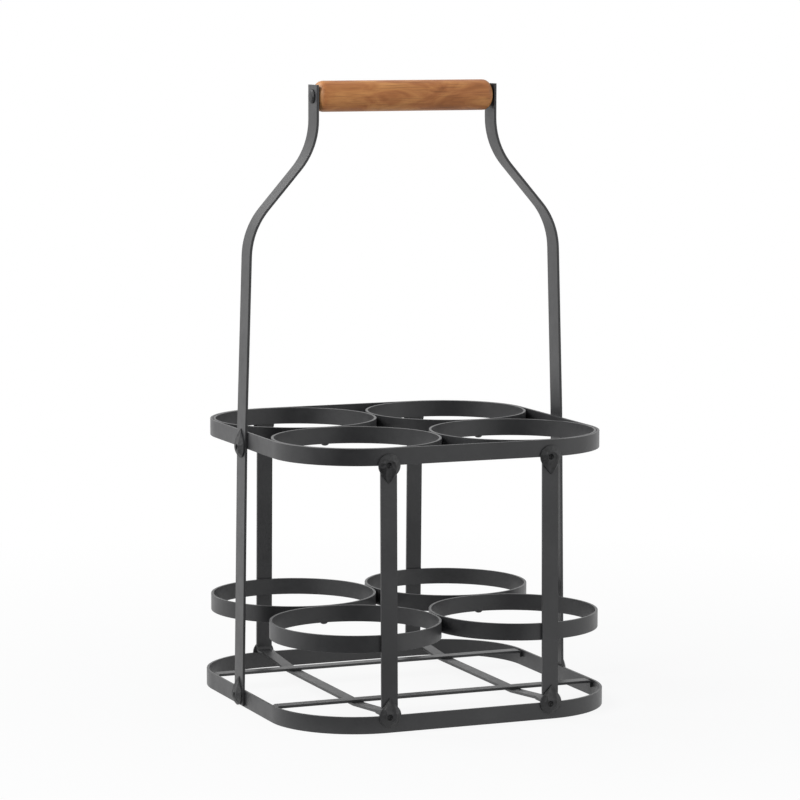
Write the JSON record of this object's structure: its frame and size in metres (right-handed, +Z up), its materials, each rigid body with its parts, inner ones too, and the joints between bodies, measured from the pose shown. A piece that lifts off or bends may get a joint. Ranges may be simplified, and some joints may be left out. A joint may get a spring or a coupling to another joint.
{
  "type": "bottle caddy",
  "caption": "Bottle carrier of bent flat steel strip: rounded-square hoops, bottle rings at two levels, crossed floor strips and a tall handle with a turning wooden grip.",
  "frame": {"origin": "middle of the footprint, on the surface that the carrier stands on", "axes": "+Z up, X along the grip, the front with the nearer posts faces -Y"},
  "size_m": [0.2092, 0.206, 0.3567],
  "materials": {
    "black_strip": "satin powder coat, anthracite black, fine grain",
    "black_forged": "hammered and powder coated black",
    "grip_wood": "oiled hardwood, lengthwise grain"
  },
  "bodies": {
    "carrier": {"top_band": "black_strip", "base_band": "black_strip", "upper_rings": "black_strip", "lower_rings": "black_strip", "strap_left": "black_strip", "handle_side_left": "black_strip", "strap_right": "black_strip", "handle_side_right": "black_strip", "cross_strip_front": "black_strip", "cross_strip_back": "black_strip", "grip_rod": "black_forged", "post_bosses_upper": "black_forged", "post_bosses_lower": "black_forged", "side_bosses": "black_forged", "ring_welds_upper": "black_strip", "ring_welds_lower": "black_strip"},
    "grip": {"grip": "grip_wood"}
  },
  "joints": [
    {"name": "grip_spin", "type": "hinge", "parent": "carrier", "child": "grip", "pos_m": [0, 0, 0.3479], "axis": [1, 0, 0], "continuous": true}
  ]
}
